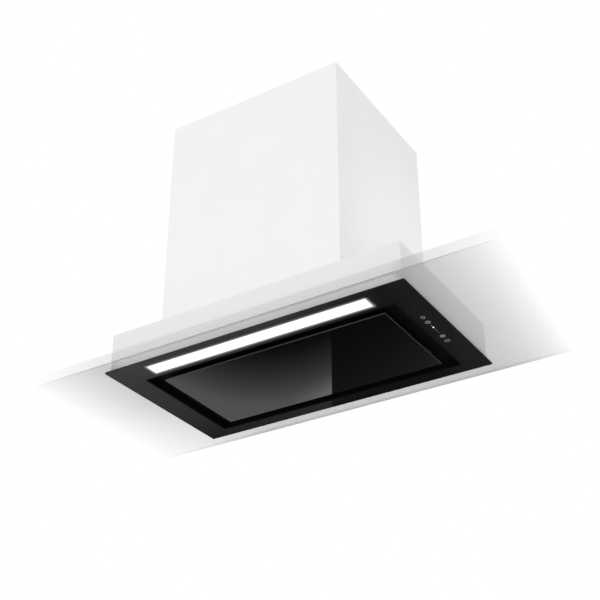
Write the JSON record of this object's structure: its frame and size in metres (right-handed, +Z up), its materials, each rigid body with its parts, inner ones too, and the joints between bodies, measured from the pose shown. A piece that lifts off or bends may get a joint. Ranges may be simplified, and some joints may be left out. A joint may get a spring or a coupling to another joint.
{
  "type": "ceiling range hood",
  "caption": "Ceiling-hung range hood: black glass perimeter-suction fascia with a light strip and touch keys, white casing and chimney cover, wide see-through canopy tray.",
  "frame": {"origin": "centre of the ceiling bracket's four anchor holes, on its top face against the ceiling", "axes": "+X to the right seen from the front (the touch-key side), +Y from the light strip to the rear, +Z up; the hood hangs towards -Z"},
  "size_m": [1.4, 0.586, 0.762],
  "materials": {
    "black_glass": "polished black tempered glass with ground edges",
    "black_steel": "black powder-coated sheet steel",
    "bright_steel": "zinc-plated steel",
    "magnet": "moulded ferrite magnet block",
    "opal_lens": "opal acrylic, lit from behind",
    "aluminium": "satin anodised aluminium",
    "filter_mesh": "expanded aluminium mesh",
    "light_board": "white solder-masked light board",
    "circuit_board": "green solder-masked circuit board",
    "black_plastic": "fine-grained black moulding",
    "white_plastic": "off-white moulding",
    "grey_plastic": "grey glass-filled moulding",
    "motor_steel": "grey lacquered motor body",
    "white_steel": "satin white powder coat",
    "galvanised": "galvanised sheet steel",
    "smoky_acrylic": "smoky see-through acrylic, fading to clear towards both ends"
  },
  "bodies": {
    "hood": {"fascia_glass": "black_glass", "fascia_frame": "black_steel", "hinge_bracket_left": "black_steel", "hinge_bracket_right": "black_steel", "hinge_pin_left": "bright_steel", "hinge_pin_right": "bright_steel", "catch_magnet_left": "magnet", "catch_magnet_right": "magnet", "led_lens": "opal_lens", "led_housing": "aluminium", "led_board": "light_board", "led_driver": "white_plastic", "touch_board": "circuit_board", "touch_cover": "black_plastic", "recess_surround": "black_plastic", "filter_frame_left": "aluminium", "filter_frame_right": "aluminium", "filter_mesh_left": "filter_mesh", "filter_mesh_right": "filter_mesh", "body_shell": "white_steel", "chimney_cover": "white_steel", "canopy_tray": "smoky_acrylic", "ceiling_bracket": "galvanised", "post_front_left": "galvanised", "post_front_right": "galvanised", "post_rear_left": "galvanised", "post_rear_right": "galvanised", "air_box": "galvanised", "scroll_housing": "grey_plastic", "scroll_cover": "grey_plastic", "blower_motor": "motor_steel", "outlet_collar": "grey_plastic", "damper_rods": "bright_steel", "control_box": "white_plastic", "control_lid": "white_plastic", "control_board": "circuit_board", "cable_gland": "black_plastic", "motor_capacitor": "white_plastic", "foot_bolts": "bright_steel", "rim_bolts_front": "bright_steel", "rim_bolts_rear": "bright_steel", "chimney_screws": "bright_steel", "collar_screws": "bright_steel", "motor_screws": "bright_steel", "frame_rivets_front": "bright_steel", "frame_rivets_rear": "bright_steel"},
    "suction_panel": {"panel_glass": "black_glass", "panel_tray": "black_steel", "hinge_arm_left": "black_steel", "hinge_arm_right": "black_steel", "catch_keeper_left": "bright_steel", "catch_keeper_right": "bright_steel"},
    "fan_wheel": {"impeller": "grey_plastic", "motor_shaft": "bright_steel"},
    "flap_front": {"damper_flap_front": "grey_plastic"},
    "flap_rear": {"damper_flap_rear": "grey_plastic"},
    "latch_left": {"filter_latch_left": "black_plastic"},
    "latch_right": {"filter_latch_right": "black_plastic"}
  },
  "joints": [
    {"name": "panel_hinge", "type": "hinge", "parent": "hood", "child": "suction_panel", "pos_m": [0, 0.187, -0.751], "axis": [1, 0, 0], "range_deg": [0, 88]},
    {"name": "fan_spin", "type": "hinge", "parent": "hood", "child": "fan_wheel", "pos_m": [-0.09677, 0, -0.492], "axis": [0, 1, 0], "continuous": true},
    {"name": "flap_front_hinge", "type": "hinge", "parent": "hood", "child": "flap_front", "pos_m": [0, -0.006, -0.294], "axis": [-1, 0, 0], "range_deg": [0, 78]},
    {"name": "flap_rear_hinge", "type": "hinge", "parent": "hood", "child": "flap_rear", "pos_m": [0, 0.006, -0.294], "axis": [1, 0, 0], "range_deg": [0, 78]},
    {"name": "latch_left_slide", "type": "slide", "parent": "hood", "child": "latch_left", "axis": [0, -1, 0], "range_m": [0, 0.008], "stiffness_N_per_m": 250},
    {"name": "latch_right_slide", "type": "slide", "parent": "hood", "child": "latch_right", "axis": [0, -1, 0], "range_m": [0, 0.008], "stiffness_N_per_m": 250}
  ]
}
